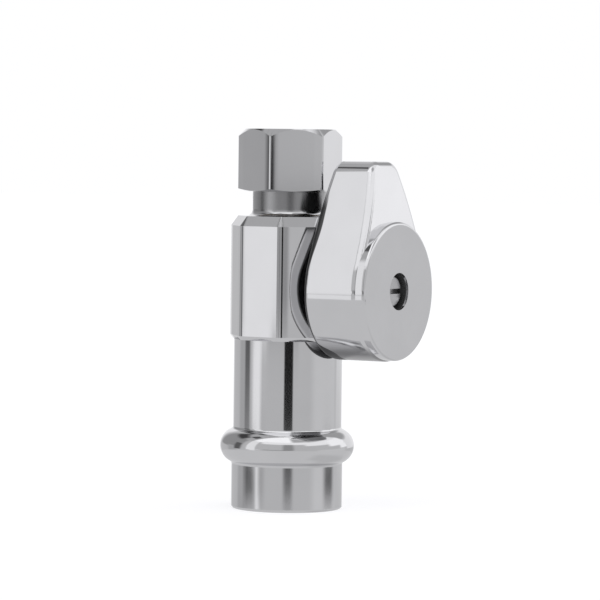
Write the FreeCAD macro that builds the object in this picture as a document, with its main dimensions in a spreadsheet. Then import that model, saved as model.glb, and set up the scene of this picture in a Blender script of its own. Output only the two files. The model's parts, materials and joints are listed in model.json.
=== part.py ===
import FreeCAD, Part
import math
import os
import Sketcher

# Straight quarter-turn isolating valve in millimetres.
# The pipe axis is Z, the mouth of the press socket lies at Z = 0,
# and the stem points along +X to the lever handle.

doc = FreeCAD.newDocument("isolating_valve")
sheet = doc.addObject("Spreadsheet::Sheet", "Sizes")

SIZES = [
    # press end
    ("tube_od", 15.88, "outside diameter of the pressed-in tube"),
    ("tube_room", 0.16, "play of the tube in its socket, on the diameter"),
    ("socket_depth", 19.0, "depth of the press socket, to the tube stop"),
    ("skirt_od", 19.4, "outside diameter of the skirt below the bead"),
    ("mouth_round", 0.5, "rounding of the skirt's lower rim"),
    ("bead_od", 23.4, "largest diameter of the seal bead"),
    ("bead_round", 3.05, "radius of the bead's rounded section"),
    ("bead_height", 10.95, "height of the bead's middle above the mouth"),
    ("bead_wall", 1.25, "wall of the bead around the seal"),
    ("bead_blend", 0.5, "rounding where the bead runs into skirt and barrel"),
    ("barrel_od", 18.9, "outside diameter of the smooth barrel"),
    ("barrel_top", 29.5, "height of the shoulder between barrel and body"),
    ("passage_bore", 12.0, "waterway above the tube stop"),
    ("passage_cone", 4.0, "length of the cone from passage to throat"),
    ("seal_section", 2.2, "thickness of the press seal ring"),
    ("seal_room", 0.05, "space between a seal ring and its groove"),
    # ball and seats
    ("waterway", 7.0, "bore of the ball and of both throats"),
    ("ball_od", 12.0, "diameter of the ball"),
    ("ball_rise", 8.95, "height of the ball's centre above the barrel's shoulder"),
    ("ball_room", 0.05, "running space between ball and seats"),
    ("seat_od", 11.8, "outside diameter of a ball seat"),
    ("seat_bore", 7.4, "bore of a ball seat"),
    ("seat_length", 2.7, "length of a ball seat along the pipe"),
    ("seat_room", 0.04, "space around a seat in its pocket"),
    ("seat_web", 0.7, "thickness of a seat behind the ball, at its bore"),
    # stem
    ("stem_od", 6.0, "diameter of the stem in the body"),
    ("stem_room", 0.05, "running space around the stem"),
    ("collar_od", 8.0, "diameter of the collar that keeps the stem in"),
    ("collar_thick", 1.2, "thickness of the collar"),
    ("collar_gap", 0.5, "space between ball and collar"),
    ("collar_room", 0.2, "space around the collar"),
    ("washer_thick", 0.55, "thickness of the thrust washer"),
    ("blade_width", 2.4, "width of the blade that turns the ball"),
    ("blade_room", 0.3, "space between the turned blade and the ball seats"),
    ("slot_room", 0.05, "space beside the blade in the ball's slot"),
    ("slot_depth", 1.8, "depth of the ball's slot"),
    ("ring_section", 1.0, "thickness of a stem ring"),
    ("ring_groove_width", 1.3, "width of a stem ring's groove"),
    ("first_groove", 10.2, "distance of the inner groove's middle from the pipe axis"),
    ("groove_pitch", 2.2, "distance between the two grooves"),
    ("stem_shoulder", 14.6, "end of the round stem, where the handle seats"),
    ("square_flats", 4.2, "square drive of the stem, across flats"),
    ("square_length", 2.7, "length of the square drive"),
    ("square_room", 0.04, "space around the square in the handle"),
    ("square_spare", 0.1, "space beyond the square's end in the handle"),
    # body
    ("body_flats", 19.2, "octagon of the body, across flats"),
    ("body_height", 21.4, "height of the octagon, from the barrel's shoulder"),
    ("body_edge_round", 1.4, "rounding of the octagon's upright edges"),
    ("top_bevel_in", 1.2, "upper bevel of the octagon, inwards"),
    ("top_bevel_down", 1.7, "upper bevel of the octagon, downwards"),
    ("foot_bevel_in", 0.5, "lower bevel of the octagon, inwards"),
    ("foot_bevel_up", 0.7, "lower bevel of the octagon, upwards"),
    ("cavity_od", 14.5, "bore of the ball chamber"),
    ("spigot_room", 0.05, "space around the press end's spigot"),
    ("joint_section", 0.9, "thickness of the ring between body and press end"),
    ("boss_od", 11.0, "outside diameter of the stem boss"),
    ("boss_end", 14.0, "end of the stem boss, from the pipe axis"),
    ("lug_width", 3.2, "width of the stop lug below the boss"),
    ("lug_reach", 7.3, "outer end of the stop lug, from the stem axis"),
    ("lug_depth", 2.6, "height of the stop lug above the flat"),
    ("neck_od", 12.9, "diameter of the plain neck below the nut"),
    ("neck_height", 5.3, "height of the neck, from the octagon to the thread"),
    ("neck_round", 1.2, "rounding at the foot of the neck"),
    ("thread_core", 12.96, "root diameter of the outlet's thread"),
    ("thread_length", 5.6, "length of the outlet's thread"),
    ("thread_lead", 0.5, "bevel at both ends of the thread"),
    # compression outlet
    ("outlet_tube_od", 9.525, "outside diameter of the supply tube"),
    ("outlet_tube_room", 0.16, "play of the supply tube, on the diameter"),
    ("stop_rise", 2.1, "height of the supply tube's stop above the octagon"),
    ("cone_mouth", 12.0, "mouth of the cone that takes the ferrule"),
    ("cone_depth", 2.9, "depth of that cone"),
    ("ferrule_od", 11.4, "outside diameter of the ferrule"),
    ("ferrule_edge", 0.3, "thickness of the ferrule's tapered ends"),
    ("ferrule_taper", 0.7, "length of the ferrule's upper taper"),
    ("ferrule_room", 0.06, "space between the ferrule and its cones"),
    ("nut_flats", 15.875, "compression nut, across flats"),
    ("nut_edge_round", 0.5, "rounding of the nut's upright edges"),
    ("nut_turn", 9.0, "angle of a nut's flat from the stem direction, in degrees"),
    ("nut_cover", 6.6, "length of the outlet that the tightened nut covers"),
    ("nut_height", 10.8, "height of the nut"),
    ("nut_thread", 14.29, "root diameter of the nut's thread"),
    ("nut_end_wall", 1.3, "thickness of the nut's upper wall at the tube hole"),
    ("nut_crown", 15.6, "diameter of the nut's upper face"),
    ("nut_foot", 15.4, "diameter of the nut's lower face"),
    ("nut_foot_bevel", 0.45, "height of the lower bevel at the nut's corners"),
    ("nut_mouth_bevel", 0.5, "bevel inside the nut's lower mouth"),
    # lever handle
    ("handle_gap", 0.5, "space between the body's flat and the handle"),
    ("handle_round", 12.1, "radius of the handle's round end"),
    ("arm_depth", 10.8, "depth of the handle behind the disc"),
    ("disc_od", 23.8, "diameter of the raised front disc"),
    ("disc_rise", 1.2, "height of the disc above the lever's front"),
    ("disc_edge", 0.5, "rounding of the disc's edge"),
    ("lever_length", 22.15, "stem axis to the tip of the lever"),
    ("tip_width", 7.8, "width of the lever's tip"),
    ("tip_lean", 1.3, "how far the lever's back leaves the body at the tip"),
    ("lean_start", 6.0, "height above the stem axis where the back starts to lean"),
    ("front_fall", 1.9, "how far the lever's front falls back at the tip"),
    ("fall_start", 5.0, "height above the stem axis where the front starts to fall"),
    ("tip_round", 3.0, "rounding of the tip's corners"),
    ("front_round", 1.2, "rounding of the lever's front edge"),
    ("back_round", 1.0, "rounding of the lever's back edge"),
    ("handle_wall", 2.6, "wall of the hollow handle"),
    ("hub_od", 9.6, "diameter of the hub inside the handle"),
    ("recess_od", 6.4, "diameter of the screw's recess"),
    ("recess_depth", 3.2, "depth of the screw's recess"),
    ("rib_thick", 2.2, "thickness of a stop rib in the handle"),
    ("rib_room", 0.8, "space between a stop rib and the body"),
    ("stop_room", 0.25, "space between lug and rib at the end of the turn"),
    # handle screw
    ("screw_od", 3.0, "diameter of the handle screw"),
    ("screw_room", 0.03, "space around the screw in the stem"),
    ("screw_pass", 0.2, "space around the screw in handle and washer"),
    ("screw_depth", 3.4, "length of the screw in the stem"),
    ("screw_spare", 0.4, "hole left below the screw's end"),
    ("head_od", 5.4, "diameter of the screw's head"),
    ("head_height", 1.6, "height of the screw's head"),
    ("head_round", 0.4, "rounding of the screw's head"),
    ("slot_width", 0.9, "width of the driver slot"),
    ("slot_cut", 0.8, "depth of the driver slot"),
    ("lock_od", 5.9, "outside diameter of the lock washer"),
    ("lock_thick", 0.55, "thickness of the lock washer"),
    ("lock_split", 0.5, "gap where the lock washer is split"),
]
for row, (alias, number, meaning) in enumerate(SIZES, start=1):
    sheet.set("A%d" % row, meaning)
    sheet.set("B%d" % row, str(number))
    sheet.setAlias("B%d" % row, alias)
doc.recompute()


# Distances that follow from the sizes, as expressions of the sheet's cells.
def size(alias):
    return "Sizes." + alias


def half(alias):
    return "Sizes.%s / 2" % alias


BALL_HEIGHT = "(Sizes.barrel_top + Sizes.ball_rise)"
BODY_TOP = "(Sizes.barrel_top + Sizes.body_height)"
OUTLET_STOP = "(%s + Sizes.stop_rise)" % BODY_TOP
THREAD_START = "(%s + Sizes.neck_height)" % BODY_TOP
OUTLET_TOP = "(%s + Sizes.thread_length)" % THREAD_START
NUT_BOTTOM = "(%s - Sizes.nut_cover)" % OUTLET_TOP
SOCKET_RADIUS = "(Sizes.tube_od + Sizes.tube_room) / 2"
OUTLET_RADIUS = "(Sizes.outlet_tube_od + Sizes.outlet_tube_room) / 2"
BEAD_CENTRE = "(Sizes.bead_od / 2 - Sizes.bead_round)"
SEAL_CENTRE = "(Sizes.bead_od / 2 - Sizes.bead_wall - Sizes.seal_room - Sizes.seal_section / 2)"
COLLAR_BORE = "(Sizes.collar_od / 2 + Sizes.collar_room)"
POCKET_RADIUS = "(Sizes.seat_od / 2 + Sizes.seat_room)"
RIM_OFFSET = "(%s + Sizes.collar_room / 2)" % COLLAR_BORE
BALL_HOLLOW = "(Sizes.ball_od / 2 + Sizes.ball_room)"
BALL_DEPTH = "sqrt(%s ^ 2 - (Sizes.seat_bore / 2) ^ 2)" % BALL_HOLLOW
SEAT_BACK = "(%s + Sizes.seat_web)" % BALL_DEPTH
SPIGOT_RADIUS = "(Sizes.cavity_od / 2 - Sizes.spigot_room)"
JOINT_DEPTH = "(Sizes.joint_section + 2 * Sizes.seal_room)"
JOINT_CENTRE = "(%s + Sizes.seal_room + Sizes.joint_section / 2)" % SPIGOT_RADIUS
BLADE_REACH = "(%s - Sizes.seat_length - Sizes.blade_room)" % SEAT_BACK
COLLAR_START = "(Sizes.ball_od / 2 + Sizes.collar_gap)"
COLLAR_END = "(%s + Sizes.collar_thick)" % COLLAR_START
WASHER_END = "(%s + Sizes.washer_thick)" % COLLAR_END
STEM_BORE = "(Sizes.stem_od / 2 + Sizes.stem_room)"
GROOVE_RADIUS = "(%s - Sizes.ring_section - 2 * Sizes.seal_room)" % STEM_BORE
RING_CENTRE = "(%s - Sizes.seal_room - Sizes.ring_section / 2)" % STEM_BORE
STEM_END = "(Sizes.stem_shoulder + Sizes.square_length)"
FLAT = "(Sizes.body_flats / 2)"
HANDLE_BACK = "(%s + Sizes.handle_gap)" % FLAT
ARM_FRONT = "(%s + Sizes.arm_depth)" % HANDLE_BACK
DISC_FRONT = "(%s + Sizes.disc_rise)" % ARM_FRONT
CORE_RADIUS = "(Sizes.handle_round - Sizes.handle_wall)"
RECESS_FLOOR = "(%s - Sizes.recess_depth)" % DISC_FRONT
HEAD_SEAT = "(%s + Sizes.lock_thick)" % RECESS_FLOOR
SCREW_PASS = "(Sizes.screw_od / 2 + Sizes.screw_pass)"
NUT_TOP = "(%s + Sizes.nut_height)" % NUT_BOTTOM
NUT_CONE_TOP = "(%s - Sizes.nut_end_wall)" % NUT_TOP
CONE_FOOT = "(%s - Sizes.cone_depth)" % OUTLET_TOP
CONE_SLOPE = "((Sizes.cone_mouth / 2 - %s) / Sizes.cone_depth)" % OUTLET_RADIUS
FERRULE_EDGE = "(%s + Sizes.ferrule_edge)" % OUTLET_RADIUS
FERRULE_STEP = "(Sizes.ferrule_od / 2 - %s)" % FERRULE_EDGE
FERRULE_FOOT = "(%s + (Sizes.ferrule_edge + Sizes.ferrule_room) / %s)" % (CONE_FOOT, CONE_SLOPE)
FERRULE_WAIST = "(%s + %s / %s)" % (FERRULE_FOOT, FERRULE_STEP, CONE_SLOPE)
NUT_CONE_SLOPE = "(%s / Sizes.ferrule_taper)" % FERRULE_STEP
FERRULE_TOP = "(%s - (Sizes.ferrule_edge + Sizes.ferrule_room) / %s)" % (NUT_CONE_TOP, NUT_CONE_SLOPE)
NUT_CONE_FOOT = "(%s - (Sizes.nut_thread / 2 - %s) / %s)" % (NUT_CONE_TOP, OUTLET_RADIUS, NUT_CONE_SLOPE)


def value(expression):
    return float(sheet.evalExpression(expression))


# Sketch helpers
def new_body(label, on_stem_axis=False):
    body = doc.addObject("PartDesign::Body", label)
    body.Label = label
    if on_stem_axis:
        body.setExpression("Placement.Base.z", BALL_HEIGHT)
    return body


def new_sketch(body, name, role, offset=None):
    plane = [feature for feature in body.Origin.OriginFeatures if feature.Role == role][0]
    sketch = body.newObject("Sketcher::SketchObject", name)
    sketch.AttachmentSupport = [(plane, "")]
    sketch.MapMode = "FlatFace"
    if offset is not None:
        sketch.setExpression("AttachmentOffset.Base.z", offset)
    return sketch


def hold(sketch, kind, expression, *points):
    index = sketch.addConstraint(Sketcher.Constraint(kind, *points, value(expression)))
    sketch.setExpression("Constraints[%d]" % index, expression)


def hold_point(sketch, edge, end, across, up):
    for kind, expression, axis in (("DistanceX", across, -2), ("DistanceY", up, -1)):
        if expression == "0":
            sketch.addConstraint(Sketcher.Constraint("PointOnObject", edge, end, axis))
        else:
            hold(sketch, kind, expression, -1, 1, edge, end)


def point(across, up):
    return FreeCAD.Vector(value(across), value(up), 0)


def join(sketch, edge, next_edge, kind="Coincident"):
    sketch.addConstraint(Sketcher.Constraint(kind, edge, 2, next_edge, 1))


def polygon(sketch, corners):
    count = len(corners)
    for index in range(count):
        start = point(*corners[index])
        end = point(*corners[(index + 1) % count])
        sketch.addGeometry(Part.LineSegment(start, end))
    for index in range(count):
        join(sketch, index, (index + 1) % count)
    for index, (across, up) in enumerate(corners):
        hold_point(sketch, index, 1, across, up)


def circle(sketch, across, up, radius):
    edge = sketch.addGeometry(Part.Circle(point(across, up), FreeCAD.Vector(0, 0, 1), value(radius)))
    hold_point(sketch, edge, 3, across, up)
    hold(sketch, "Radius", radius, edge)


def half_disc(sketch, up, radius):
    low = "%s - %s" % (up, radius)
    high = "%s + %s" % (up, radius)
    arc = Part.Arc(point("0", low), point(radius, up), point("0", high))
    sketch.addGeometry(arc)
    sketch.addGeometry(Part.LineSegment(point("0", high), point("0", low)))
    join(sketch, 0, 1)
    join(sketch, 1, 0)
    hold_point(sketch, 0, 3, "0", up)
    hold(sketch, "Radius", radius, 0)
    sketch.addConstraint(Sketcher.Constraint("PointOnObject", 1, 1, -2))
    sketch.addConstraint(Sketcher.Constraint("PointOnObject", 1, 2, -2))


def rectangle(left, right, low, high):
    return [(left, low), (right, low), (right, high), (left, high)]


def centred(across, up):
    return rectangle("-%s" % across, across, "-%s" % up, up)


def regular(flats, sides, turn):
    reach = "%s / 2 / cos(180 / %d)" % (flats, sides)
    corners = []
    for index in range(sides):
        angle = "(%s + %s)" % (turn, 180.0 / sides * (2 * index + 1))
        corners.append(("%s * cos%s" % (reach, angle), "%s * sin%s" % (reach, angle)))
    return corners


def teardrop(sketch, radius, tip_half, tip_up):
    # A round lower end with straight sides that run tangent from it to a narrow tip.
    across = value(tip_half)
    up = value(tip_up)
    round_end = value(radius)
    right = FreeCAD.Vector(across, up, 0)
    left = FreeCAD.Vector(-across, up, 0)
    reach = right.Length
    run = (reach ** 2 - round_end ** 2) ** 0.5
    foot = right * (round_end / reach) ** 2
    side = FreeCAD.Vector(up, -across, 0) * (round_end * run / reach ** 2)
    touch = foot + side
    mirrored = FreeCAD.Vector(-touch.x, touch.y, 0)
    sketch.addGeometry(Part.Arc(mirrored, FreeCAD.Vector(0, -round_end, 0), touch))
    sketch.addGeometry(Part.LineSegment(touch, right))
    sketch.addGeometry(Part.LineSegment(right, left))
    sketch.addGeometry(Part.LineSegment(left, mirrored))
    sketch.addConstraint(Sketcher.Constraint("Coincident", 0, 3, -1, 1))
    hold(sketch, "Radius", radius, 0)
    join(sketch, 0, 1, "Tangent")
    join(sketch, 1, 2)
    join(sketch, 2, 3)
    join(sketch, 3, 0, "Tangent")
    hold_point(sketch, 2, 1, tip_half, tip_up)
    hold_point(sketch, 2, 2, "-(%s)" % tip_half, tip_up)


def curved_relief(sketch, plane, start, depth, end):
    # The corner that a gentle arc takes off a flat face, tangent to it where it starts.
    tip_across = "%s + %s" % (plane, depth)
    low = point(plane, start)
    high = point(plane, end)
    tip = point(tip_across, end)
    rise = high.y - low.y
    fall = tip.x - high.x
    centre = low + FreeCAD.Vector((rise ** 2 + fall ** 2) / (2 * fall), 0, 0)
    bend = Part.Circle(centre, FreeCAD.Vector(0, 0, 1), (low - centre).Length)
    low_angle = math.atan2(0, low.x - centre.x)
    tip_angle = math.atan2(tip.y - centre.y, tip.x - centre.x)
    arc_low, arc_tip = (1, 2) if low_angle < tip_angle else (2, 1)
    sketch.addGeometry(Part.LineSegment(low, high))
    sketch.addGeometry(Part.LineSegment(high, tip))
    sketch.addGeometry(Part.ArcOfCircle(bend, min(low_angle, tip_angle), max(low_angle, tip_angle)))
    join(sketch, 0, 1)
    sketch.addConstraint(Sketcher.Constraint("Coincident", 1, 2, 2, arc_tip))
    sketch.addConstraint(Sketcher.Constraint("Tangent", 2, arc_low, 0, 1))
    hold_point(sketch, 0, 1, plane, start)
    hold_point(sketch, 0, 2, plane, end)
    hold_point(sketch, 1, 2, tip_across, end)


# Feature helpers
def turned(body, name, sketch, axis="V_Axis", cut=False):
    kind = "PartDesign::Groove" if cut else "PartDesign::Revolution"
    feature = body.newObject(kind, name)
    feature.Profile = sketch
    feature.ReferenceAxis = (sketch, [axis])
    feature.Angle = 360
    doc.recompute()
    return feature


def turned_profile(body, name, corners, axis="V_Axis", cut=False):
    sketch = new_sketch(body, name + "_profile", "XZ_Plane")
    polygon(sketch, corners)
    return turned(body, name, sketch, axis, cut)


def turned_ring(body, name, across, up, section_radius, axis="V_Axis", cut=False):
    sketch = new_sketch(body, name + "_section", "XZ_Plane")
    circle(sketch, across, up, section_radius)
    return turned(body, name, sketch, axis, cut)


def raised(body, name, sketch, length):
    feature = body.newObject("PartDesign::Pad", name)
    feature.Profile = sketch
    feature.setExpression("Length", length)
    doc.recompute()
    return feature


def cut_into(body, name, sketch, length, both_ways=False, forwards=False):
    before = body.Shape.Volume
    feature = body.newObject("PartDesign::Pocket", name)
    feature.Profile = sketch
    feature.Reversed = forwards
    if both_ways:
        feature.SideType = "Symmetric"
    feature.setExpression("Length", length)
    doc.recompute()
    if not feature.Shape.Volume < before:
        raise ValueError(name + " removed nothing")
    return feature


def edges_where(feature, test):
    names = []
    for index, edge in enumerate(feature.Shape.Edges, start=1):
        ends = [vertex.Point for vertex in edge.Vertexes]
        if test(edge, ends):
            names.append("Edge%d" % index)
    if not names:
        raise ValueError("no edges found on " + feature.Name)
    return names


def rounded(body, name, feature, edges, radius):
    fillet = body.newObject("PartDesign::Fillet", name)
    fillet.Base = (feature, edges)
    fillet.setExpression("Radius", radius)
    doc.recompute()
    return fillet


def bevelled(body, name, feature, edges, inward, along):
    chamfer = body.newObject("PartDesign::Chamfer", name)
    chamfer.Base = (feature, edges)
    chamfer.ChamferType = "Two distances"
    chamfer.setExpression("Size", along)
    chamfer.setExpression("Size2", inward)
    doc.recompute()
    return chamfer


def near(first, second):
    return abs(first - second) < 1e-4


def upright(edge, ends):
    return not near(ends[0].z, ends[1].z)


def on_level(expression):
    height = value(expression)
    return lambda edge, ends: all(near(end.z, height) for end in ends)


def circle_at(radius, height):
    wanted_radius = value(radius)
    wanted_height = value(height)

    def test(edge, ends):
        if edge.Curve.TypeId != "Part::GeomCircle":
            return False
        return near(edge.Curve.Radius, wanted_radius) and near(edge.Curve.Center.z, wanted_height)

    return test


# Press end: skirt, seal bead, smooth barrel and the spigot that screws into the body.
def make_press_end():
    body = new_body("press_end")
    middle = size("bead_height")
    seat_floor = "(%s - %s)" % (BALL_HEIGHT, SEAT_BACK)
    spigot_top = "(%s - %s)" % (BALL_HEIGHT, RIM_OFFSET)
    turned_profile(body, "outer_form", [
        ("0", "0"),
        (half("skirt_od"), "0"),
        (half("skirt_od"), middle),
        (half("barrel_od"), middle),
        (half("barrel_od"), size("barrel_top")),
        (SPIGOT_RADIUS, size("barrel_top")),
        (SPIGOT_RADIUS, spigot_top),
        ("0", spigot_top),
    ])
    bead = turned_ring(body, "bead", BEAD_CENTRE, middle, size("bead_round"))
    junctions = edges_where(bead, between_bead_and_wall)
    blend = rounded(body, "bead_blends", bead, junctions, size("bead_blend"))
    lower_rim = edges_where(blend, circle_at(half("skirt_od"), "0"))
    rounded(body, "mouth_rounding", blend, lower_rim, size("mouth_round"))
    turned_profile(body, "waterway", [
        ("0", "0"),
        (SOCKET_RADIUS, "0"),
        (SOCKET_RADIUS, size("socket_depth")),
        (half("passage_bore"), size("socket_depth")),
        (half("passage_bore"), "%s - Sizes.passage_cone" % seat_floor),
        (half("waterway"), seat_floor),
        (POCKET_RADIUS, seat_floor),
        (POCKET_RADIUS, spigot_top),
        ("0", spigot_top),
    ], cut=True)
    groove = "Sizes.bead_round - Sizes.bead_wall"
    turned_ring(body, "seal_groove", BEAD_CENTRE, middle, groove, cut=True)
    return body


def between_bead_and_wall(edge, ends):
    if edge.Curve.TypeId != "Part::GeomCircle":
        return False
    offset = abs(edge.Curve.Center.z - value(size("bead_height")))
    return 0 < offset < value(size("bead_round"))


# Rings of round section, on the pipe axis or on the stem axis.
def make_pipe_ring(label, centre, up, section):
    body = new_body(label)
    turned_ring(body, label + "_turn", centre, up, half(section))
    return body


def make_stem_ring(label, along):
    body = new_body(label, on_stem_axis=True)
    turned_ring(body, label + "_turn", along, RING_CENTRE, half("ring_section"), axis="H_Axis")
    return body


# Ball seat: a plain ring whose inner edge is hollowed to the ball.
def make_seat(label, low, high):
    body = new_body(label)
    turned_profile(body, label + "_ring", rectangle(half("seat_bore"), half("seat_od"), low, high))
    hollow = new_sketch(body, label + "_hollow_profile", "XZ_Plane")
    half_disc(hollow, BALL_HEIGHT, BALL_HOLLOW)
    turned(body, label + "_hollow", hollow, cut=True)
    return body


# Ball with its through bore and the slot that the stem's blade turns.
def make_ball():
    body = new_body("ball", on_stem_axis=True)
    disc = new_sketch(body, "ball_profile", "XZ_Plane")
    half_disc(disc, "0", half("ball_od"))
    turned(body, "sphere", disc)
    bore = new_sketch(body, "bore_outline", "XY_Plane")
    circle(bore, "0", "0", half("waterway"))
    cut_into(body, "bore", bore, size("ball_od"), both_ways=True)
    slot = new_sketch(body, "slot_outline", "XZ_Plane")
    side = "(Sizes.blade_width / 2 + Sizes.slot_room)"
    floor = "Sizes.ball_od / 2 - Sizes.slot_depth"
    polygon(slot, rectangle(floor, half("ball_od"), "-%s" % side, side))
    cut_into(body, "slot", slot, size("ball_od"), both_ways=True)
    return body


# Stem: blade, retaining collar, two ring grooves, square drive and a tapped end.
def make_stem():
    body = new_body("stem", on_stem_axis=True)
    radius = half("stem_od")
    profile = [
        (COLLAR_START, "0"),
        (COLLAR_START, half("collar_od")),
        (COLLAR_END, half("collar_od")),
        (COLLAR_END, radius),
    ]
    for middle in (size("first_groove"), "(Sizes.first_groove + Sizes.groove_pitch)"):
        near_side = "%s - Sizes.ring_groove_width / 2" % middle
        far_side = "%s + Sizes.ring_groove_width / 2" % middle
        profile += [(near_side, radius), (near_side, GROOVE_RADIUS)]
        profile += [(far_side, GROOVE_RADIUS), (far_side, radius)]
    profile += [(size("stem_shoulder"), radius), (size("stem_shoulder"), "0")]
    turned_profile(body, "spindle", profile, axis="H_Axis")
    blade_start = "(Sizes.ball_od / 2 - Sizes.slot_depth + Sizes.slot_room)"
    blade = new_sketch(body, "blade_outline", "YZ_Plane", blade_start)
    polygon(blade, centred(BLADE_REACH, half("blade_width")))
    raised(body, "blade", blade, "%s - %s" % (COLLAR_START, blade_start))
    square = new_sketch(body, "square_outline", "YZ_Plane", size("stem_shoulder"))
    polygon(square, centred(half("square_flats"), half("square_flats")))
    raised(body, "square", square, size("square_length"))
    hole = new_sketch(body, "tapped_outline", "YZ_Plane", STEM_END)
    circle(hole, "0", "0", "Sizes.screw_od / 2 + Sizes.screw_room")
    cut_into(body, "tapped_hole", hole, "Sizes.screw_depth + Sizes.screw_spare")
    return body


def make_thrust_washer():
    body = new_body("stem_thrust_washer", on_stem_axis=True)
    corners = rectangle(COLLAR_END, WASHER_END, STEM_BORE, half("collar_od"))
    turned_profile(body, "thrust_ring", corners, axis="H_Axis")
    return body


# Valve body: octagon, neck, threaded outlet, stem boss and stop lug.
def make_valve_body():
    body = new_body("valve_body")
    octagon = new_sketch(body, "octagon_outline", "XY_Plane", size("barrel_top"))
    polygon(octagon, regular(size("body_flats"), 8, "0"))
    prism = raised(body, "octagon", octagon, size("body_height"))
    prism = rounded(body, "upright_edges", prism, edges_where(prism, upright), size("body_edge_round"))
    rim = edges_where(prism, on_level(BODY_TOP))
    prism = bevelled(body, "top_bevel", prism, rim, size("top_bevel_in"), size("top_bevel_down"))
    rim = edges_where(prism, on_level(size("barrel_top")))
    bevelled(body, "foot_bevel", prism, rim, size("foot_bevel_in"), size("foot_bevel_up"))
    outlet = turned_profile(body, "outlet", [
        ("0", BODY_TOP),
        (half("neck_od"), BODY_TOP),
        (half("neck_od"), THREAD_START),
        (half("thread_core"), "%s + Sizes.thread_lead" % THREAD_START),
        (half("thread_core"), "%s - Sizes.thread_lead" % OUTLET_TOP),
        ("(Sizes.thread_core + Sizes.cone_mouth) / 4", OUTLET_TOP),
        ("0", OUTLET_TOP),
    ])
    foot = edges_where(outlet, circle_at(half("neck_od"), BODY_TOP))
    rounded(body, "neck_foot", outlet, foot, size("neck_round"))
    boss = new_sketch(body, "boss_outline", "YZ_Plane", half("cavity_od"))
    circle(boss, "0", BALL_HEIGHT, half("boss_od"))
    raised(body, "boss", boss, "Sizes.boss_end - Sizes.cavity_od / 2")
    lug = new_sketch(body, "lug_outline", "YZ_Plane", half("cavity_od"))
    lug_foot = "%s - Sizes.lug_reach" % BALL_HEIGHT
    polygon(lug, rectangle("-Sizes.lug_width / 2", half("lug_width"), lug_foot, BALL_HEIGHT))
    raised(body, "stop_lug", lug, "%s + Sizes.lug_depth - Sizes.cavity_od / 2" % FLAT)
    joint_radius = "(%s + %s)" % (SPIGOT_RADIUS, JOINT_DEPTH)
    joint_top = "Sizes.barrel_top + %s" % JOINT_DEPTH
    turned_profile(body, "chamber", [
        ("0", size("barrel_top")),
        (joint_radius, size("barrel_top")),
        (joint_radius, joint_top),
        (half("cavity_od"), joint_top),
        (half("cavity_od"), "%s + %s" % (BALL_HEIGHT, RIM_OFFSET)),
        (POCKET_RADIUS, "%s + %s" % (BALL_HEIGHT, RIM_OFFSET)),
        (POCKET_RADIUS, "%s + %s" % (BALL_HEIGHT, SEAT_BACK)),
        (half("waterway"), "%s + %s" % (BALL_HEIGHT, SEAT_BACK)),
        (half("waterway"), OUTLET_STOP),
        (OUTLET_RADIUS, OUTLET_STOP),
        (OUTLET_RADIUS, CONE_FOOT),
        (half("cone_mouth"), OUTLET_TOP),
        ("0", OUTLET_TOP),
    ], cut=True)
    stem_hole = new_sketch(body, "stem_hole_outline", "YZ_Plane", size("boss_end"))
    circle(stem_hole, "0", BALL_HEIGHT, STEM_BORE)
    cut_into(body, "stem_hole", stem_hole, size("boss_end"))
    collar_seat = "(%s + Sizes.stem_room)" % WASHER_END
    counterbore = new_sketch(body, "collar_outline", "YZ_Plane", collar_seat)
    circle(counterbore, "0", BALL_HEIGHT, COLLAR_BORE)
    cut_into(body, "collar_pocket", counterbore, collar_seat)
    return body


# Compression outlet: hexagon nut and the ferrule that it squeezes onto the tube.
def make_nut():
    body = new_body("compression_nut")
    hexagon = new_sketch(body, "hexagon_outline", "XY_Plane", NUT_BOTTOM)
    polygon(hexagon, regular(size("nut_flats"), 6, size("nut_turn")))
    prism = raised(body, "hexagon", hexagon, size("nut_height"))
    rounded(body, "nut_edges", prism, edges_where(prism, upright), size("nut_edge_round"))
    outside = size("nut_flats")
    turned_profile(body, "crown_bevel", [
        (half("nut_crown"), NUT_TOP),
        (outside, NUT_TOP),
        (outside, "%s - (Sizes.nut_flats - Sizes.nut_crown / 2)" % NUT_TOP),
    ], cut=True)
    corner = "(Sizes.nut_flats / 2 / cos(30))"
    turned_profile(body, "foot_bevel", [
        (half("nut_foot"), NUT_BOTTOM),
        (corner, "%s + Sizes.nut_foot_bevel" % NUT_BOTTOM),
        (outside, "%s + Sizes.nut_foot_bevel" % NUT_BOTTOM),
        (outside, NUT_BOTTOM),
    ], cut=True)
    turned_profile(body, "inside", [
        ("0", NUT_BOTTOM),
        ("Sizes.nut_thread / 2 + Sizes.nut_mouth_bevel", NUT_BOTTOM),
        (half("nut_thread"), "%s + Sizes.nut_mouth_bevel" % NUT_BOTTOM),
        (half("nut_thread"), NUT_CONE_FOOT),
        (OUTLET_RADIUS, NUT_CONE_TOP),
        (OUTLET_RADIUS, NUT_TOP),
        ("0", NUT_TOP),
    ], cut=True)
    return body


def make_ferrule():
    body = new_body("compression_ferrule")
    turned_profile(body, "ferrule_ring", [
        (OUTLET_RADIUS, FERRULE_FOOT),
        (FERRULE_EDGE, FERRULE_FOOT),
        (half("ferrule_od"), FERRULE_WAIST),
        (half("ferrule_od"), "%s - Sizes.ferrule_taper" % FERRULE_TOP),
        (FERRULE_EDGE, FERRULE_TOP),
        (OUTLET_RADIUS, FERRULE_TOP),
    ])
    return body


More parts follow.
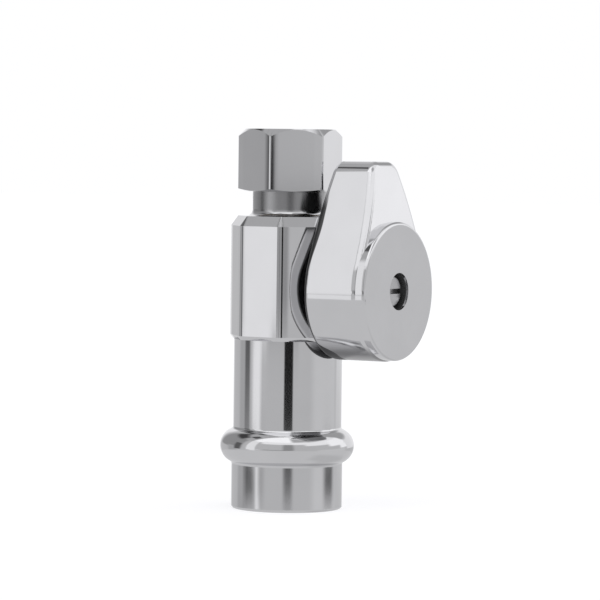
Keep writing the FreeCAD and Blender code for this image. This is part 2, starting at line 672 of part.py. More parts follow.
# Lever handle: a hollow teardrop casting with a raised disc, a hub and two stop ribs.
def make_handle():
    body = new_body("lever_handle", on_stem_axis=True)
    tip_half = value(half("tip_width"))
    tip_up = value(size("lever_length"))
    middle = value("%s + Sizes.arm_depth / 2" % HANDLE_BACK)
    outline = new_sketch(body, "lever_outline", "YZ_Plane", HANDLE_BACK)
    teardrop(outline, size("handle_round"), half("tip_width"), size("lever_length"))
    raised(body, "lever", outline, size("arm_depth"))
    width = "2 * Sizes.handle_round"
    back = new_sketch(body, "back_relief_outline", "XZ_Plane")
    curved_relief(back, HANDLE_BACK, size("lean_start"), size("tip_lean"), size("lever_length"))
    cut_into(body, "back_relief", back, width, both_ways=True)
    front = new_sketch(body, "front_relief_outline", "XZ_Plane")
    curved_relief(front, ARM_FRONT, size("fall_start"), "-Sizes.front_fall", size("lever_length"))
    form = cut_into(body, "front_relief", front, width, both_ways=True)

    def tip_corner(edge, ends):
        at_tip = all(near(abs(end.y), tip_half) and near(end.z, tip_up) for end in ends)
        return at_tip and not near(ends[0].x, ends[-1].x)

    def rim_edge(forward, seam):
        def test(edge, ends):
            on_seam = all(near(end.z, value(seam)) for end in ends)
            return not on_seam and all((end.x > middle) == forward for end in ends)

        return test

    form = rounded(body, "tip_corners", form, edges_where(form, tip_corner), size("tip_round"))
    front_rim = edges_where(form, rim_edge(True, size("fall_start")))
    form = rounded(body, "front_edge", form, front_rim, size("front_round"))
    back_rim = edges_where(form, rim_edge(False, size("lean_start")))
    rounded(body, "back_edge", form, back_rim, size("back_round"))
    disc = new_sketch(body, "disc_outline", "YZ_Plane", "%s - Sizes.front_round" % ARM_FRONT)
    circle(disc, "0", "0", half("disc_od"))
    form = raised(body, "disc", disc, "Sizes.disc_rise + Sizes.front_round")
    disc_rim = edges_where(form, lambda edge, ends: all(near(end.x, value(DISC_FRONT)) for end in ends))
    rounded(body, "disc_edge", form, disc_rim, size("disc_edge"))
    hollow_handle(body)
    return body


def hollow_handle(body):
    core_floor = "(%s - Sizes.handle_wall)" % DISC_FRONT
    core = new_sketch(body, "core_outline", "YZ_Plane", HANDLE_BACK)
    tip_half = "(Sizes.tip_width / 2 - Sizes.handle_wall)"
    teardrop(core, CORE_RADIUS, tip_half, "(Sizes.lever_length - Sizes.handle_wall)")
    depth = "Sizes.arm_depth - Sizes.front_fall - Sizes.handle_wall"
    cut_into(body, "core", core, depth, forwards=True)
    round_core = new_sketch(body, "round_core_outline", "YZ_Plane", HANDLE_BACK)
    circle(round_core, "0", "0", CORE_RADIUS)
    cut_into(body, "round_core", round_core, "%s - %s" % (core_floor, HANDLE_BACK), forwards=True)
    hub = new_sketch(body, "hub_outline", "YZ_Plane", size("stem_shoulder"))
    circle(hub, "0", "0", half("hub_od"))
    raised(body, "hub", hub, "%s - Sizes.stem_shoulder" % core_floor)
    rib_start = "(%s + Sizes.rib_room)" % FLAT
    inner = "(Sizes.boss_od / 2 + Sizes.rib_room)"
    outer = "(%s + Sizes.handle_wall / 4)" % CORE_RADIUS
    face = "(Sizes.lug_width / 2 + Sizes.stop_room)"
    back = "(%s + Sizes.rib_thick)" % face
    ribs = [
        ("open_stop", rectangle("-%s" % back, "-%s" % face, "-%s" % outer, "-%s" % inner)),
        ("closed_stop", rectangle(inner, outer, face, back)),
    ]
    for name, corners in ribs:
        rib = new_sketch(body, name + "_outline", "YZ_Plane", rib_start)
        polygon(rib, corners)
        raised(body, name, rib, "%s - %s" % (core_floor, rib_start))
    square = new_sketch(body, "square_hole_outline", "YZ_Plane", size("stem_shoulder"))
    side = "(Sizes.square_flats / 2 + Sizes.square_room)"
    polygon(square, centred(side, side))
    cut_into(body, "square_hole", square, "Sizes.square_length + Sizes.square_spare", forwards=True)
    recess = new_sketch(body, "recess_outline", "YZ_Plane", DISC_FRONT)
    circle(recess, "0", "0", half("recess_od"))
    cut_into(body, "recess", recess, size("recess_depth"))
    hole = new_sketch(body, "screw_hole_outline", "YZ_Plane", RECESS_FLOOR)
    circle(hole, "0", "0", SCREW_PASS)
    cut_into(body, "screw_hole", hole, "%s - Sizes.stem_shoulder" % RECESS_FLOOR)


# Handle screw with a driver slot, and the split washer under its head.
def make_screw():
    body = new_body("handle_screw", on_stem_axis=True)
    end = "%s - Sizes.screw_depth" % STEM_END
    head_top = "(%s + Sizes.head_height)" % HEAD_SEAT
    screw = turned_profile(body, "screw", [
        (end, "0"),
        (end, half("screw_od")),
        (HEAD_SEAT, half("screw_od")),
        (HEAD_SEAT, half("head_od")),
        (head_top, half("head_od")),
        (head_top, "0"),
    ], axis="H_Axis")
    head_rim = edges_where(screw, lambda edge, ends: all(near(end.x, value(head_top)) for end in ends))
    rounded(body, "head_rim", screw, head_rim, size("head_round"))
    slot = new_sketch(body, "driver_slot_outline", "XZ_Plane")
    floor = "%s - Sizes.slot_cut" % head_top
    polygon(slot, rectangle(floor, head_top, "-Sizes.slot_width / 2", half("slot_width")))
    cut_into(body, "driver_slot", slot, size("head_od"), both_ways=True)
    return body


def make_lock_washer():
    body = new_body("screw_lock_washer", on_stem_axis=True)
    turned_profile(body, "lock_ring", rectangle(RECESS_FLOOR, HEAD_SEAT, SCREW_PASS, half("lock_od")),
                   axis="H_Axis")
    split = new_sketch(body, "split_outline", "YZ_Plane", HEAD_SEAT)
    polygon(split, rectangle("0", half("lock_od"), "-Sizes.lock_split / 2", half("lock_split")))
    cut_into(body, "split", split, size("lock_thick"))
    return body


LOWER_SEAT = "(%s - %s)" % (BALL_HEIGHT, SEAT_BACK)
UPPER_SEAT = "(%s + %s)" % (BALL_HEIGHT, SEAT_BACK)
JOINT_RING_HEIGHT = "Sizes.barrel_top + %s / 2" % JOINT_DEPTH
OUTER_GROOVE = "Sizes.first_groove + Sizes.groove_pitch"

subparts = [
    make_press_end(),
    make_pipe_ring("press_seal_ring", SEAL_CENTRE, size("bead_height"), "seal_section"),
    make_pipe_ring("body_joint_ring", JOINT_CENTRE, JOINT_RING_HEIGHT, "joint_section"),
    make_valve_body(),
    make_seat("lower_ball_seat", LOWER_SEAT, "%s + Sizes.seat_length" % LOWER_SEAT),
    make_seat("upper_ball_seat", "%s - Sizes.seat_length" % UPPER_SEAT, UPPER_SEAT),
    make_ball(),
    make_stem(),
    make_thrust_washer(),
    make_stem_ring("stem_ring_inner", size("first_groove")),
    make_stem_ring("stem_ring_outer", OUTER_GROOVE),
    make_handle(),
    make_screw(),
    make_lock_washer(),
    make_ferrule(),
    make_nut(),
]
doc.recompute()

for thing in doc.Objects:
    if "Invalid" in thing.State or "Error" in thing.State:
        raise ValueError("%s did not build: %s" % (thing.Name, thing.State))
for body in subparts:
    if body.Shape.isNull() or not body.Shape.isValid():
        raise ValueError(body.Label + " has no valid shape")
    if len(body.Shape.Solids) != 1:
        raise ValueError(body.Label + " is not one solid")

os.makedirs("parts", exist_ok=True)
for body in subparts:
    body.Shape.exportStep("parts/%s.step" % body.Label)
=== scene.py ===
import json
import math

import bpy
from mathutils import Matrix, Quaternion, Vector


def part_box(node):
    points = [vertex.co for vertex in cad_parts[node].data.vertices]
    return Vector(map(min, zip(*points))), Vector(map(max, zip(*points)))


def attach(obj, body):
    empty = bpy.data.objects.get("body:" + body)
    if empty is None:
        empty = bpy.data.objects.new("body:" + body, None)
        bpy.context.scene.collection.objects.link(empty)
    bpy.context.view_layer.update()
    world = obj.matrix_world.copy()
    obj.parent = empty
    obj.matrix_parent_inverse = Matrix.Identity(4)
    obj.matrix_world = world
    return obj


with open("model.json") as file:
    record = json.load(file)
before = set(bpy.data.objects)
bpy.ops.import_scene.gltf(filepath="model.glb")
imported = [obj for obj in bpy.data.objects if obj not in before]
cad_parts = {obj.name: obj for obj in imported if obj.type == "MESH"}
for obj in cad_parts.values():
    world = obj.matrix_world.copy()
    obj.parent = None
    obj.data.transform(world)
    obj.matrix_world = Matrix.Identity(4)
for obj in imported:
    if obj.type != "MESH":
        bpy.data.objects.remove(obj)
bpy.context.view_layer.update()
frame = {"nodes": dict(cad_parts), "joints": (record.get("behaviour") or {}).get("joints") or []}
nodes = frame["nodes"]

MM = 0.001

# Camera, as seen from the pipe axis
CAMERA_BEARING = math.radians(-58.5)
CAMERA_DISTANCE = 600 * MM
CAMERA_HEIGHT = 63 * MM
CAMERA_ROLL = math.radians(0.7)
AIM_HEIGHT = 36.3 * MM
AIM_RIGHT = 1.97 * MM
VIEW_WIDTH = 104.4 * MM
SENSOR_WIDTH = 36.0

# Places on the valve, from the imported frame
STEM_HEIGHT = next(joint for joint in frame["joints"] if joint["name"] == "handle_turn")["pos_m"][2]
HANDLE_LOW, HANDLE_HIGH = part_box("lever_handle")
HANDLE_ROUND = HANDLE_HIGH.y
LEVER_LENGTH = HANDLE_HIGH.z - STEM_HEIGHT
OUTLET_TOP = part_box("valve_body")[1].z

# Sizes of the solids that the finishes and the threads follow
BODY_TOP = 50.9 * MM
TOP_BEVEL = 1.7 * MM
BODY_FLATS = 19.2 * MM
NUT_FLATS = 15.875 * MM
NUT_TURN = math.radians(9)
NUT_BORE = 14.29 / 2 * MM
HANDLE_WALL = 2.6 * MM
LEVER_FLOOR = 6.3 * MM
TIP_HALF = 3.9 * MM
RECESS_RADIUS = 3.2 * MM

# Threads
THREAD_CORE = 12.96 / 2 * MM
THREAD_PITCH = 25.4 / 24 * MM
THREAD_TURNS = 5
THREAD_LENGTH = 5.4 * MM
THREAD_STEPS = 64
THREAD_SUNK = 0.05 * MM

# Bare brass inside these radii
PRESS_BRASS = 8.25 * MM
NUT_BRASS = 7.4 * MM

# Edges rolled over by buffing: width and final slope
BODY_ROLL = (2.2 * MM, 0.14)
NUT_ROLL = (1.6 * MM, 0.06)

# Painted shade along the lever's back edge next to the body: its width, and what is added at the foot and
# beside the lever
BACK_SHADE_WIDTH = 0.75 * MM
BACK_SHADE_FOOT = 2.2 * MM
BACK_SHADE_SIDE = 0.9 * MM

# Depth of the lever's rim that is painted lighter as a highlight, and how far the hollow's dark cast finish
# and painted shade go past its walls and floor
RIM_HIGHLIGHT_DEPTH = 0.08 * MM
WALL_SKIN = 0.3 * MM
FLOOR_SKIN = 0.2 * MM


class Wire:
    """The output of one node, so that shader maths reads as plain sums."""

    def __init__(self, recipe, socket):
        self.recipe = recipe
        self.socket = socket

    def other(self, name):
        return Wire(self.recipe, self.socket.node.outputs[name])

    def sum(self, operation, first, second):
        return self.recipe.node("ShaderNodeMath", {"operation": operation}, {0: first, 1: second})

    def __add__(self, other):
        return self.sum("ADD", self, other)

    def __radd__(self, other):
        return self.sum("ADD", other, self)

    def __sub__(self, other):
        return self.sum("SUBTRACT", self, other)

    def __rsub__(self, other):
        return self.sum("SUBTRACT", other, self)

    def __mul__(self, other):
        return self.sum("MULTIPLY", self, other)

    def __rmul__(self, other):
        return self.sum("MULTIPLY", other, self)


class Recipe:
    """The nodes of one material, or of the world."""

    def __init__(self, owner):
        owner.use_nodes = True
        self.tree = owner.node_tree
        self.tree.nodes.clear()

    def node(self, kind, settings=None, sockets=None, output=0):
        made = self.tree.nodes.new(kind)
        for name, setting in (settings or {}).items():
            setattr(made, name, setting)
        for key, content in (sockets or {}).items():
            if isinstance(content, Wire):
                self.tree.links.new(content.socket, made.inputs[key])
            else:
                made.inputs[key].default_value = content
        return Wire(self, made.outputs[output]) if made.outputs else None

    def function(self, operation, first, second=0.0):
        return self.node("ShaderNodeMath", {"operation": operation}, {0: first, 1: second})

    def step(self, value, start, end):
        sockets = {"Value": value, "From Min": start, "From Max": end}
        return self.node("ShaderNodeMapRange", {"interpolation_type": "SMOOTHSTEP"}, sockets)

    def below(self, value, limit, soft=0.1 * MM):
        return 1 - self.step(value, limit - soft, limit + soft)

    def place(self):
        return self.node("ShaderNodeTexCoord", output="Object")

    def split(self, vector):
        first = self.node("ShaderNodeSeparateXYZ", None, {"Vector": vector})
        return first, first.other("Y"), first.other("Z")

    def stretched(self, place, scale):
        return self.node("ShaderNodeMapping", None, {"Vector": place, "Scale": scale})

    def noise(self, place, scale, detail=2.0):
        return self.node("ShaderNodeTexNoise", None, {"Vector": place, "Scale": scale, "Detail": detail})

    def mixed(self, factor, first, second):
        sockets = {"Factor": factor, 6: first, 7: second}
        return self.node("ShaderNodeMix", {"data_type": "RGBA"}, sockets, output=2)

    def surface(self, colour, roughness, metallic, height, depth):
        bump = self.node("ShaderNodeBump", None, {"Strength": 1.0, "Distance": depth, "Height": height})
        shader = self.node("ShaderNodeBsdfPrincipled", None, {
            "Base Color": colour,
            "Metallic": metallic,
            "Roughness": roughness,
            "Normal": bump,
        })
        self.node("ShaderNodeOutputMaterial", None, {"Surface": shader})


def grey(level):
    return (level, level, level * 1.015, 1.0)


# Heights in metres, scales in waves to the metre
RIPPLE = 0.4e-6
CAST_RIPPLE = 1.2e-6
CLOUDS = 160.0
BRASS = (0.76, 0.56, 0.24, 1.0)
DULL_BRASS = (0.55, 0.39, 0.16, 1.0)

# Noise drawn out into turning marks, round the pipe and round the stem
ROUND_PIPE = (0.05, 0.05, 1.0)
ROUND_STEM = (1.0, 0.08, 0.08)


def new_finish(name):
    material = bpy.data.materials.new(name)
    return material, Recipe(material)


def rolled_edges(recipe, across, along, sides, turn, flats, roll):
    # The height lost along the upright edges, which buffing rolls over.
    width, slope = roll
    corner = math.pi / sides
    bearing = recipe.function("ARCTAN2", along, across) - turn
    bearing = recipe.node("ShaderNodeMath", {"operation": "WRAP"}, {0: bearing, 1: corner, 2: -corner})
    radius = recipe.function("SQRT", across * across + along * along)
    aside = recipe.function("ABSOLUTE", radius * recipe.function("SINE", bearing))
    over = recipe.function("MAXIMUM", aside - (flats / 2 * math.tan(corner) - width), 0.0)
    return over * over * (slope / (2 * width))


def plate_colour(recipe, cloud):
    return recipe.mixed(cloud, grey(0.68), grey(0.74))


def plate_ripple(recipe, place):
    waves = recipe.noise(place, 700.0, detail=1.0)
    rings = recipe.noise(recipe.stretched(place, (0.12, 0.12, 1.0)), 7000.0, detail=1.0)
    return waves + 0.025 * rings


def chrome_on_turned_brass(name, piece, bore, flats=0.0):
    # Plated outside and on the top face, bare brass in the bore that the tube goes into.
    material, recipe = new_finish(name)
    place = recipe.place()
    across, along, up = recipe.split(place)
    radius = recipe.function("SQRT", across * across + along * along)
    inside = recipe.below(radius, bore) * recipe.below(up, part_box(piece)[1].z - 0.2 * MM)
    cloud = recipe.noise(place, CLOUDS)
    brass = recipe.mixed(cloud, DULL_BRASS, BRASS)
    colour = recipe.mixed(inside, plate_colour(recipe, cloud), brass)
    roughness = 0.045 + 0.03 * cloud + 0.2 * inside
    height = plate_ripple(recipe, place)
    if flats:
        height = height - rolled_edges(recipe, across, along, 6, NUT_TURN, flats, NUT_ROLL) * (1 / RIPPLE)
    recipe.surface(colour, roughness, 1.0, height, RIPPLE)
    return material


def chrome_on_body(name):
    # The octagon is polished, less so in the corners of its top bevel, which are painted darker as shade;
    # the neck and the outlet above it are plated as turned, rougher with rings, and painted darker as shade
    # under the nut.
    material, recipe = new_finish(name)
    place = recipe.place()
    across, along, up = recipe.split(place)
    # Mask of the neck and outlet: plated as turned, and painted darker as shade under the nut.
    turned_and_shaded = recipe.step(up, BODY_TOP + 0.2 * MM, BODY_TOP + 1.4 * MM)
    cloud = recipe.noise(place, CLOUDS)
    # Darker grey: partly the duller turned finish, partly painted shade.
    dull_finish_and_shade = recipe.mixed(cloud, grey(0.33), grey(0.42))
    upright = recipe.below(up, BODY_TOP - TOP_BEVEL, 0.005 * MM)
    lost = rolled_edges(recipe, across, along, 8, 0.0, BODY_FLATS, BODY_ROLL)
    on_bevel = (1 - upright) * recipe.below(up, BODY_TOP - 0.05 * MM, 0.03 * MM)
    # Painted shade: the corners of the top bevel, where the rolled edges meet it, are marked for the darker
    # grey.
    corner = on_bevel * recipe.step(lost, 0.05 * MM, 0.11 * MM)
    colour = recipe.mixed(recipe.function("MAXIMUM", turned_and_shaded, corner), plate_colour(recipe, cloud), dull_finish_and_shade)
    rings = recipe.noise(recipe.stretched(place, ROUND_PIPE), 5000.0)
    roughness = 0.045 + 0.03 * cloud + 0.18 * turned_and_shaded + 0.2 * corner
    height = plate_ripple(recipe, place) + 3.0 * turned_and_shaded * rings - upright * lost * (1 / RIPPLE)
    recipe.surface(colour, roughness, 1.0, height, RIPPLE)
    return material


def lever_zones(recipe, place):
    # Masks of the hollow with the screw's recess, the rim painted lighter as a highlight, and the back edge
    # and the underside painted darker as shade.
    depth, across, height = recipe.split(place)
    side = recipe.function("ABSOLUTE", across)
    up = height - STEM_HEIGHT
    radius = recipe.function("SQRT", side * side + up * up)
    lean = math.atan2(LEVER_LENGTH, TIP_HALF) - math.acos(HANDLE_ROUND / math.hypot(TIP_HALF, LEVER_LENGTH))
    flank = side * math.cos(lean) + up * math.sin(lean)
    on_lever = recipe.step(up * math.cos(lean) - side * math.sin(lean), 0.0, 0.2 * MM)
    reach = radius * (1 - on_lever) + flank * on_lever
    wall = HANDLE_WALL - WALL_SKIN
    within = recipe.below(reach, HANDLE_ROUND - wall) * recipe.below(up, LEVER_LENGTH - wall)
    shallow = recipe.below(depth, HANDLE_LOW.x + LEVER_FLOOR + FLOOR_SKIN)
    deep = recipe.below(depth, HANDLE_HIGH.x - HANDLE_WALL + FLOOR_SKIN)
    behind_disc = deep * recipe.below(radius, HANDLE_ROUND - wall)
    recess = recipe.below(depth, HANDLE_HIGH.x - 0.4 * MM) * recipe.below(radius, RECESS_RADIUS + 0.1 * MM)
    cavity = within * recipe.function("MAXIMUM", shallow, behind_disc)
    hollow = recipe.function("MAXIMUM", cavity, recess)
    low = recipe.step(0.0 - up, 0.72 * HANDLE_ROUND, 0.9 * HANDLE_ROUND)
    high = recipe.step(up, 0.2 * HANDLE_ROUND, HANDLE_ROUND)
    below_tip = recipe.below(up, 1.3 * HANDLE_ROUND, 0.15 * HANDLE_ROUND)
    # Painted highlight: the rim next to the body is marked to be painted lighter; it is also rougher.
    rim_highlight = recipe.below(depth, HANDLE_LOW.x + RIM_HIGHLIGHT_DEPTH, RIM_HIGHLIGHT_DEPTH / 2) * (1 - hollow) * (1 - low)
    # Painted shade along the back edge next to the body, wider at the foot and up the sides.
    edge_width = BACK_SHADE_WIDTH + BACK_SHADE_FOOT * low + BACK_SHADE_SIDE * high
    back_edge_shade = recipe.below(depth - edge_width, HANDLE_LOW.x) * below_tip * (1 - hollow) * (1 - rim_highlight)
    # Painted shade: the underside below the stem, short of the front face, is marked to be painted darker.
    underside_shade = low * recipe.below(depth, HANDLE_HIGH.x - 1.6 * MM)
    return hollow, rim_highlight, back_edge_shade, underside_shade


def chrome_on_casting(name):
    # Plated over a slightly wavy casting. The hollow is dark cast metal with painted shade on it; the
    # underside and the back edge are painted darker as shade; the rim next to the body is sanded, rougher
    # and painted lighter as a highlight.
    material, recipe = new_finish(name)
    place = recipe.place()
    hollow, rim_highlight, back_edge_shade, underside_shade = lever_zones(recipe, place)
    cloud = recipe.noise(place, CLOUDS)
    # Colour of the hollow and the screw's recess: dark cast metal, made near black as painted shade.
    cast_and_painted_shade = recipe.mixed(cloud, grey(0.05), grey(0.10))
    # Painted shade: the underside darker grey.
    colour = recipe.mixed(underside_shade, plate_colour(recipe, cloud), grey(0.3))
    # Painted shade: the back edge next to the body near black.
    colour = recipe.mixed(back_edge_shade, colour, grey(0.08))
    # Painted highlight: the rim lighter than the plate.
    colour = recipe.mixed(rim_highlight, colour, grey(0.85))
    colour = recipe.mixed(hollow, colour, cast_and_painted_shade)
    roughness = 0.05 + 0.04 * cloud + 0.4 * hollow + 0.3 * rim_highlight + 0.12 * underside_shade + 0.2 * back_edge_shade
    waves = recipe.noise(place, 520.0, detail=3.0)
    grain = recipe.noise(place, 3500.0)
    recipe.surface(colour, roughness, 1.0 - 0.5 * hollow, waves + 4.0 * hollow * grain, CAST_RIPPLE)
    return material


def turned_metal(name, dark, light, roughness, stretch):
    material, recipe = new_finish(name)
    place = recipe.place()
    cloud = recipe.noise(place, 300.0)
    rings = recipe.noise(recipe.stretched(place, stretch), 6000.0)
    colour = recipe.mixed(cloud, dark, light)
    recipe.surface(colour, roughness + 0.08 * rings, 1.0, rings, 2.0e-6)
    return material


def moulded(name, dark, light, roughness, scale):
    material, recipe = new_finish(name)
    place = recipe.place()
    cloud = recipe.noise(place, scale)
    grain = recipe.noise(place, 9000.0)
    colour = recipe.mixed(cloud, dark, light)
    recipe.surface(colour, roughness + 0.12 * cloud, 0.0, grain, 4.0e-6)
    return material


def dress(material, *names):
    for name in names:
        slots = nodes[name].data.materials
        slots.clear()
        slots.append(material)


def dress_nodes():
    dress(chrome_on_turned_brass("chrome_press_end", "press_end", PRESS_BRASS), "press_end")
    dress(chrome_on_turned_brass("chrome_nut", "compression_nut", NUT_BRASS, NUT_FLATS), "compression_nut")
    dress(chrome_on_body("chrome_body"), "valve_body")
    dress(chrome_on_casting("chrome_handle"), "lever_handle")
    bright_steel = turned_metal("bright_screw_steel", grey(0.5), grey(0.6), 0.2, ROUND_STEM)
    dress(bright_steel, "handle_screw", "screw_lock_washer")
    dress(turned_metal("stem_brass", DULL_BRASS, BRASS, 0.22, ROUND_STEM), "stem")
    dress(turned_metal("ferrule_brass", DULL_BRASS, BRASS, 0.25, (0.08, 0.08, 1.0)), "compression_ferrule")
    dress(turned_metal("ball_chrome", grey(0.66), grey(0.74), 0.06, ROUND_STEM), "ball")
    seats = ("lower_ball_seat", "upper_ball_seat", "stem_thrust_washer")
    dress(moulded("white_seat_plastic", grey(0.80), grey(0.88), 0.45, 500.0), *seats)
    rings = ("press_seal_ring", "body_joint_ring", "stem_ring_inner", "stem_ring_outer")
    dress(moulded("black_seal_rubber", grey(0.018), grey(0.032), 0.5, 900.0), *rings)


def add_thread(name, body, root, crest, start, finish):
    """A helical ridge of V section, wound round the pipe axis from the given height."""
    half_foot = 0.46 * THREAD_PITCH
    crest_share = 0.16
    run_out = 0.4 * THREAD_PITCH
    least_height = 0.05
    end = start + THREAD_TURNS * THREAD_PITCH
    bpy.ops.object.select_all(action="DESELECT")
    bpy.ops.mesh.primitive_plane_add(size=2.0)
    ridge = bpy.context.object
    ridge.name = name
    bpy.ops.transform.rotate(value=math.pi / 2, orient_axis="X", center_override=(0, 0, 0))
    bpy.ops.transform.resize(value=((crest - root) / 2, 1.0, half_foot))
    bpy.ops.transform.translate(value=((crest + root) / 2, 0, start))
    bpy.ops.object.transform_apply()
    bpy.ops.object.mode_set(mode="EDIT")
    bpy.ops.mesh.delete(type="ONLY_FACE")
    bpy.ops.mesh.select_all(action="DESELECT")
    bpy.ops.object.mode_set(mode="OBJECT")
    for vertex in ridge.data.vertices:
        vertex.select = abs(vertex.co.x - crest) < 0.01 * MM
    bpy.ops.object.mode_set(mode="EDIT")
    bpy.ops.transform.resize(value=(1, 1, crest_share), center_override=(0, 0, start))
    bpy.ops.object.mode_set(mode="OBJECT")
    screw = ridge.modifiers.new("winding", "SCREW")
    screw.axis = "Z"
    screw.angle = 2 * math.pi
    screw.iterations = THREAD_TURNS
    screw.screw_offset = THREAD_PITCH
    screw.steps = THREAD_STEPS
    screw.render_steps = THREAD_STEPS
    bpy.ops.object.modifier_apply(modifier="winding")
    for vertex in ridge.data.vertices:
        fade = min(1.0, max(least_height, min(vertex.co.z - start, end - vertex.co.z) / run_out))
        radius = math.hypot(vertex.co.x, vertex.co.y)
        wanted = root + (radius - root) * fade
        vertex.co.x *= wanted / radius
        vertex.co.y *= wanted / radius
    bpy.ops.object.mode_set(mode="EDIT")
    bpy.ops.mesh.select_all(action="SELECT")
    bpy.ops.mesh.remove_doubles(threshold=0.0005 * MM)
    bpy.ops.mesh.select_all(action="DESELECT")
    bpy.ops.mesh.select_non_manifold()
    bpy.ops.mesh.fill_holes(sides=4)
    bpy.ops.mesh.select_all(action="SELECT")
    bpy.ops.mesh.normals_make_consistent(inside=False)
    bpy.ops.object.mode_set(mode="OBJECT")
    ridge.data.materials.append(finish)
    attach(ridge, body)


def add_threads():
    plated = turned_metal("chrome_thread", grey(0.5), grey(0.6), 0.15, ROUND_PIPE)
    brass = turned_metal("nut_thread_brass", DULL_BRASS, BRASS, 0.25, ROUND_PIPE)
    outlet_start = OUTLET_TOP - THREAD_LENGTH
    nut_start = outlet_start + THREAD_PITCH / 2
    outlet_crest = NUT_BORE - 0.1 * MM
    nut_crest = THREAD_CORE + 0.08 * MM
    add_thread("outlet_thread", "valve", THREAD_CORE - THREAD_SUNK, outlet_crest,
               outlet_start, plated)
    add_thread("nut_thread", "nut", NUT_BORE + THREAD_SUNK, nut_crest, nut_start, brass)


# Studio seen in the metal. Each card has its name, its azimuth to the right of the camera and its
# elevation in degrees, its brightness, and the softness of its upright and of its level edges.
# A later card covers an earlier one.
ROOM_LEVEL = 0.59
ALL_ROUND = (-190, 190)
FLOOR_SIZE = 6.0
FLOOR_GREY = 0.4
FLOOR_GLOW = 0.75
CARDS = [
    ("ceiling", ALL_ROUND, (50, 95), 0.50, (1, 6)),
    ("ceiling, middle", (0, 112), (73, 95), 1.0, (6, 3)),
    ("ceiling, right part", (76, 122), (38, 72), 1.0, (8, 5)),
    ("overhead light", (-74, 12), (42, 95), 1.25, (6, 3)),
    ("front softbox", (-50, 44), (33, 48), 1.05, (6, 3)),
    ("front softbox, right end", (34, 84), (24, 46), 1.05, (6, 3)),
    ("right softbox", (82, 127), (13, 41), 1.15, (6, 3)),
    ("right softbox, lower part", (106, 127), (1.5, 16), 1.13, (4, 1.5)),
    ("right corner", (126, 170), (25, 60), 0.42, (4, 3)),
    ("right screen", (126, 168), (-4, 22), 0.92, (3, 3)),
    ("right wall", (55, 122), (-12, 0.5), 0.69, (10, 1.5)),
    ("left corner", (-152, -86), (2, 54), 0.34, (6, 2)),
    ("left corner, black part", (-146, -106), (38, 52), 0.06, (6, 4)),
    ("left corner, grey part", (-100, -76), (42, 54), 0.50, (3, 1)),
    ("left corner, top", (-112, -84), (54.5, 64), 0.10, (6, 0.7)),
    ("left wall", (-122, -98), (-12, 6), 0.47, (6, 2)),
    ("left strip light", (-75, -57), (-3.1, 42), 0.98, (2, 2)),
    ("left strip light, middle", (-72, -47), (-3.05, 0.5), 0.98, (2, 0.1)),
    ("left strip light, wide part", (-80, -60), (-5.05, -3.0), 1.0, (5, 0.1)),
    ("left strip light, foot", (-68, -58), (-12, -5.05), 0.95, (4, 0.1)),
    ("left flag", (-103, -88), (-5.0, 22), 0.13, (3.5, 2)),
    ("backdrop, left half", (-190, -160), (-20, 26), 0.95, (6, 4)),
    ("backdrop, right half", (166, 190), (-20, 26), 0.90, (6, 4)),
    ("front shade", (-42, 9), (-3.05, 2), 0.36, (4, 0.2)),
    ("front shade, right end", (8, 22), (-3.05, -0.8), 0.32, (3, 0.3)),
    ("camera stand", (-7, 12), (0, 33), 0.34, (4, 4)),
    ("camera stand, foot", (-14, 12), (-0.9, 0.8), 0.34, (5, 0.2)),
    ("camera gap", (-7.5, 11), (-5.0, 0.5), 0.015, (1.5, 0.1)),
    ("seam, left", (-97, -72), (-5.9, -5.05), 0.10, (8, 0.12)),
    ("seam, second", (-62, -48), (-5.9, -5.05), 0.42, (6, 0.12)),
    ("seam, middle", (-6, 11), (-5.9, -5.05), 0.12, (6, 0.12)),
    ("seam, right", (84, 110), (-5.9, -5.05), 0.10, (8, 0.12)),
    ("floor", ALL_ROUND, (-95, -12), 0.67, (1, 0.6)),
    ("floor, right", (56, 150), (-62, -30), 0.58, (15, 8)),
]


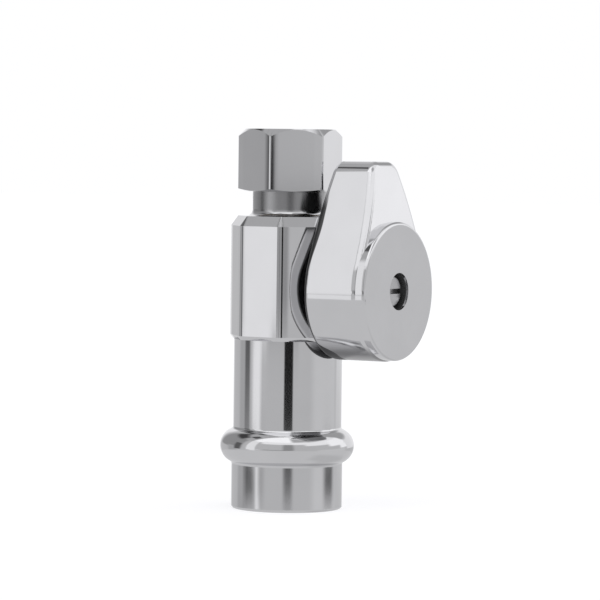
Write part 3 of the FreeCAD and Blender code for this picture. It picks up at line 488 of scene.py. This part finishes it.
def light_studio():
    world = bpy.data.worlds.new("studio")
    bpy.context.scene.world = world
    recipe = Recipe(world)
    across, along, up = recipe.split(recipe.node("ShaderNodeTexCoord", output="Generated"))
    toward = across * math.cos(CAMERA_BEARING) + along * math.sin(CAMERA_BEARING)
    right = along * math.cos(CAMERA_BEARING) - across * math.sin(CAMERA_BEARING)
    azimuth = recipe.function("ARCTAN2", right, toward) * math.degrees(1)
    elevation = recipe.function("ARCSINE", up) * math.degrees(1)
    level = ROOM_LEVEL
    for _, sides, heights, brightness, soft in CARDS:
        mask = 1.0
        for angle, (start, end), blur in ((azimuth, sides, soft[0]), (elevation, heights, soft[1])):
            mask = mask * recipe.step(angle, start - blur, start + blur) * recipe.below(angle, end, blur)
        level = level * (1 - mask) + brightness * mask
    seen = recipe.node("ShaderNodeLightPath", output="Is Camera Ray")
    strength = level * (1 - seen) + seen
    shader = recipe.node("ShaderNodeBackground", None, {"Color": grey(1.0), "Strength": strength})
    recipe.node("ShaderNodeOutputWorld", None, {"Surface": shader})


def lay_floor():
    bpy.ops.object.select_all(action="DESELECT")
    bpy.ops.mesh.primitive_plane_add(size=FLOOR_SIZE, location=(0, 0, 0))
    floor = bpy.context.object
    floor.name = "floor"
    material, recipe = new_finish("pale_floor")
    matte = recipe.node("ShaderNodeBsdfDiffuse", None, {"Color": grey(FLOOR_GREY)})
    glow = recipe.node("ShaderNodeEmission", None, {"Color": grey(1.0), "Strength": FLOOR_GLOW})
    both = recipe.node("ShaderNodeAddShader", None, {0: matte, 1: glow})
    recipe.node("ShaderNodeOutputMaterial", None, {"Surface": both})
    floor.data.materials.append(material)
    floor.visible_glossy = False


def place_camera():
    camera_data = bpy.data.cameras.new("camera")
    camera = bpy.data.objects.new("camera", camera_data)
    bpy.context.scene.collection.objects.link(camera)
    toward = Vector((math.cos(CAMERA_BEARING), math.sin(CAMERA_BEARING), 0))
    right = Vector((-toward.y, toward.x, 0))
    camera.location = toward * CAMERA_DISTANCE + Vector((0, 0, CAMERA_HEIGHT))
    aim = right * AIM_RIGHT + Vector((0, 0, AIM_HEIGHT))
    level = (aim - camera.location).to_track_quat("-Z", "Y")
    camera.rotation_euler = (level @ Quaternion((0, 0, 1), CAMERA_ROLL)).to_euler()
    camera_data.sensor_width = SENSOR_WIDTH
    camera_data.lens = SENSOR_WIDTH * CAMERA_DISTANCE / VIEW_WIDTH
    camera_data.clip_start = 10 * MM
    bpy.context.scene.camera = camera


dress_nodes()
add_threads()
light_studio()
lay_floor()
place_camera()
bpy.context.scene.view_settings.view_transform = "Standard"
